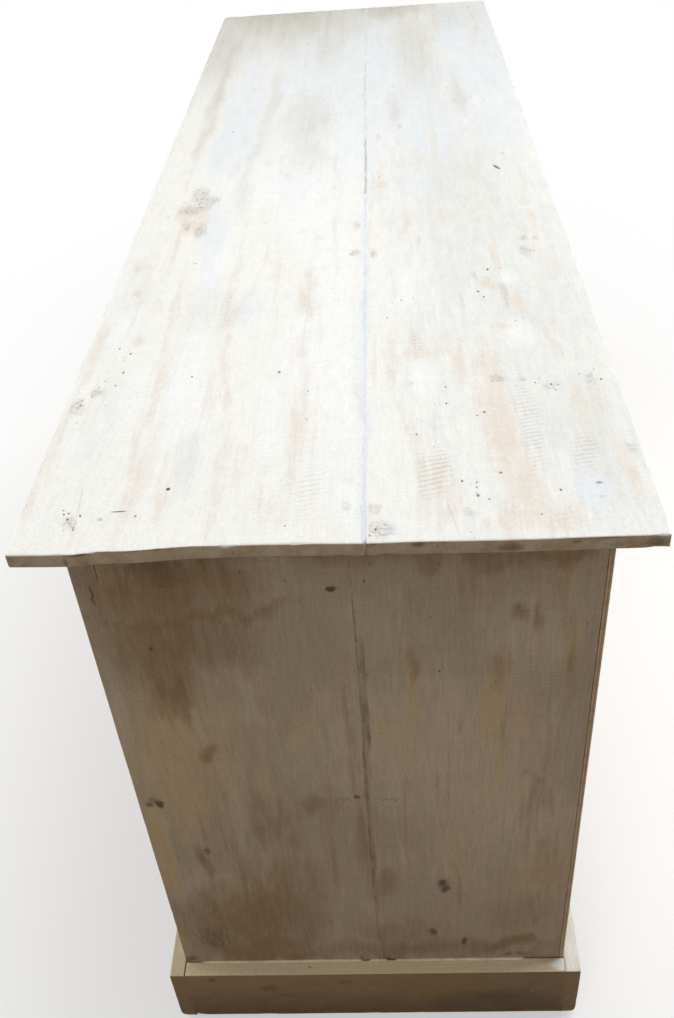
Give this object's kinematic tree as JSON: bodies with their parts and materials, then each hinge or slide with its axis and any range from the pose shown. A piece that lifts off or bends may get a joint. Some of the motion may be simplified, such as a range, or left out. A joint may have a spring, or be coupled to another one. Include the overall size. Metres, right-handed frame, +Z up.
{
  "type": "tv cabinet",
  "caption": "Long low plank-built TV cabinet with a limewashed finish: overhanging board top, panelled end doors, an open niche over a drawer between them, and a plinth.",
  "frame": {"origin": "on the floor below the middle of the top", "axes": "+X along the length to the right-hand end seen from the front, +Y from the front to the back, +Z up"},
  "size_m": [1.43, 0.45, 0.675],
  "materials": {
    "limewash_top": "worn limewash, satin",
    "limewash_side": "thin worn limewash over brown wood, matt",
    "bare_wood": "sawn and bare",
    "plywood": "bare plywood",
    "iron": "dark oxide"
  },
  "bodies": {
    "carcass": {"top_board_front": "limewash_top", "top_board_back": "limewash_top", "top_batten_left": "bare_wood", "top_batten_right": "bare_wood", "end_board_left_front": "limewash_side", "end_board_left_back": "limewash_side", "end_board_right_front": "limewash_side", "end_board_right_back": "limewash_side", "partition_left": "bare_wood", "partition_right": "bare_wood", "bottom_board": "bare_wood", "back_panel": "plywood", "shelf_left": "bare_wood", "shelf_right": "bare_wood", "niche_shelf": "bare_wood", "frame_stile_left": "limewash_side", "frame_stile_right": "limewash_side", "frame_post_left": "limewash_side", "frame_post_right": "limewash_side", "frame_rail_top": "limewash_side", "frame_rail_bottom": "limewash_side", "plinth_front": "limewash_side", "plinth_back": "limewash_side", "plinth_left": "limewash_side", "plinth_right": "limewash_side", "drawer_guide_left": "bare_wood", "drawer_guide_right": "bare_wood", "door_catch_left": "iron", "door_catch_right": "iron", "left_lower_hinge_frame_leaf": "iron", "left_upper_hinge_frame_leaf": "iron", "right_lower_hinge_frame_leaf": "iron", "right_upper_hinge_frame_leaf": "iron", "left_lower_hinge_pin": "iron", "left_upper_hinge_pin": "iron", "right_lower_hinge_pin": "iron", "right_upper_hinge_pin": "iron"},
    "left_door": {"left_door_hinge_stile": "limewash_side", "left_door_lock_stile": "limewash_side", "left_door_top_rail": "limewash_side", "left_door_bottom_rail": "limewash_side", "left_door_panel": "limewash_side", "left_door_knob": "limewash_side", "left_lower_hinge_door_leaf": "iron", "left_upper_hinge_door_leaf": "iron"},
    "right_door": {"right_door_hinge_stile": "limewash_side", "right_door_lock_stile": "limewash_side", "right_door_top_rail": "limewash_side", "right_door_bottom_rail": "limewash_side", "right_door_panel": "limewash_side", "right_door_knob": "limewash_side", "right_lower_hinge_door_leaf": "iron", "right_upper_hinge_door_leaf": "iron"},
    "drawer": {"drawer_front": "limewash_side", "drawer_side_left": "bare_wood", "drawer_side_right": "bare_wood", "drawer_back": "bare_wood", "drawer_bottom": "plywood", "drawer_knob": "limewash_side"}
  },
  "joints": [
    {"name": "left_door_swing", "type": "hinge", "parent": "carcass", "child": "left_door", "pos_m": [-0.635, -0.199, 0.36285], "axis": [0, 0, -1], "range_deg": [0, 165]},
    {"name": "right_door_swing", "type": "hinge", "parent": "carcass", "child": "right_door", "pos_m": [0.635, -0.199, 0.36285], "axis": [0, 0, 1], "range_deg": [0, 165]},
    {"name": "drawer_slide", "type": "slide", "parent": "carcass", "child": "drawer", "axis": [0, -1, 0], "range_m": [0, 0.27]}
  ]
}
